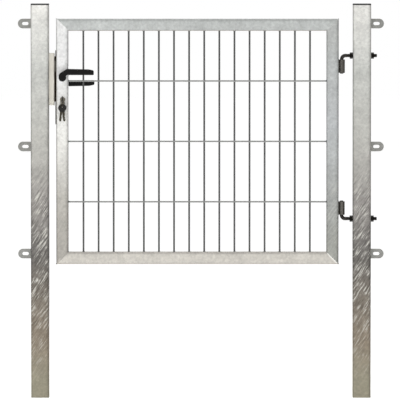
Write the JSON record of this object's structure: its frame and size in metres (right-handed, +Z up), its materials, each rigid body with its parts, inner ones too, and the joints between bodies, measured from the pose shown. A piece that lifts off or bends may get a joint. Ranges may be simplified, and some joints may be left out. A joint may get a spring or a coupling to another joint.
{
  "type": "garden gate",
  "caption": "Single-leaf galvanised mesh garden gate hung on adjustable hook hinges between two square posts, with lever handles and a keyed mortise lock.",
  "frame": {"origin": "middle of the gateway at the level of the posts' feet, halfway through the posts' depth", "axes": "+Z up, +X from the lock post to the hinge post, -Y the side the leaf opens towards"},
  "size_m": [1.211, 0.128, 1.305],
  "materials": {
    "galvanised_tube": "hot-dip galvanised, mottled and run-streaked, satin",
    "galvanised_wire": "hot-dip galvanised wire, dull",
    "keeper_zinc": "hot-dip galvanised, smooth and pale",
    "hinge_zinc": "zinc-plated, dull",
    "dark_nut_steel": "dark zinc-plated",
    "cap_plastic": "moulded, fine matt",
    "handle_plastic": "moulded, satin",
    "forend_steel": "rolled steel, dark",
    "lock_steel": "pressed steel, zinc-plated",
    "screw_steel": "zinc-plated",
    "spring_steel": "bright spring wire",
    "cylinder_nickel": "nickel-plated, brushed",
    "key_nickel": "nickel-plated, milled",
    "key_plastic": "moulded, satin",
    "bush_nylon": "moulded nylon, matt",
    "buffer_rubber": "matt"
  },
  "bodies": {
    "posts": {"lock_post": "galvanised_tube", "hinge_post": "galvanised_tube", "lock_post_cap": "cap_plastic", "hinge_post_cap": "cap_plastic", "lock_post_top_lug": "galvanised_tube", "lock_post_middle_lug": "galvanised_tube", "lock_post_bottom_lug": "galvanised_tube", "hinge_post_top_lug": "galvanised_tube", "hinge_post_middle_lug": "galvanised_tube", "hinge_post_bottom_lug": "galvanised_tube", "keeper": "keeper_zinc", "stop_bar": "keeper_zinc", "stop_buffer": "buffer_rubber", "upper_hook_bolt": "hinge_zinc", "lower_hook_bolt": "hinge_zinc", "upper_hinge_nuts": "dark_nut_steel", "lower_hinge_nuts": "dark_nut_steel"},
    "leaf": {"top_rail": "galvanised_tube", "bottom_rail": "galvanised_tube", "lock_stile": "galvanised_tube", "hinge_stile": "galvanised_tube", "bar_wires": "galvanised_wire", "cross_wires": "galvanised_wire", "upper_hinge_sleeve": "hinge_zinc", "lower_hinge_sleeve": "hinge_zinc", "lock_case": "lock_steel", "lock_case_cover": "lock_steel", "lock_forend": "forend_steel", "lower_forend_screw": "screw_steel", "upper_forend_screw": "screw_steel", "cylinder_body": "cylinder_nickel", "rear_plug": "cylinder_nickel", "cylinder_screw": "screw_steel", "front_handle_bush": "bush_nylon", "rear_handle_bush": "bush_nylon", "latch_spring": "spring_steel"},
    "handles": {"front_handle": "handle_plastic", "rear_handle": "handle_plastic", "spindle": "lock_steel", "follower": "lock_steel", "grub_screws": "screw_steel"},
    "latch": {"latch_bolt": "lock_steel"},
    "bolt": {"dead_bolt": "lock_steel"},
    "key": {"front_plug": "cylinder_nickel", "cam": "lock_steel", "key_blade": "key_nickel", "key_head": "key_plastic"},
    "spare_keys": {"key_ring": "key_nickel", "spare_key_blades": "key_nickel", "spare_key_heads": "key_plastic"}
  },
  "joints": [
    {"name": "gate_swing", "type": "hinge", "parent": "posts", "child": "leaf", "pos_m": [0.466, 0, 0], "axis": [0, 0, 1], "range_deg": [0, 95]},
    {"name": "handle_turn", "type": "hinge", "parent": "leaf", "child": "handles", "pos_m": [-0.4575, 0, 1.06], "axis": [0, 1, 0], "range_deg": [0, 35], "stiffness_Nm_per_rad": 0.8, "springref_deg": -22.92},
    {"name": "latch_slide", "type": "slide", "parent": "leaf", "child": "latch", "axis": [1, 0, 0], "range_m": [0, 0.011], "deforming": ["latch_spring"]},
    {"name": "key_turn", "type": "hinge", "parent": "leaf", "child": "key", "pos_m": [-0.4575, 0, 0.988], "axis": [0, -1, 0], "range_deg": [0, 360], "deforming": ["key_ring"]},
    {"name": "bolt_slide", "type": "slide", "parent": "leaf", "child": "bolt", "axis": [-1, 0, 0], "range_m": [0, 0.016]},
    {"name": "spare_keys_swing", "type": "hinge", "parent": "leaf", "child": "spare_keys", "pos_m": [-0.4575, -0.056, 0.988], "axis": [-1, 0, 0], "range_deg": [-15, 60]}
  ],
  "couplings": [
    {"joint": "latch_slide", "follows": "handle_turn", "m_per_rad": 0.018},
    {"joint": "key_turn", "follows": "bolt_slide", "rad_per_m": 392.7}
  ]
}
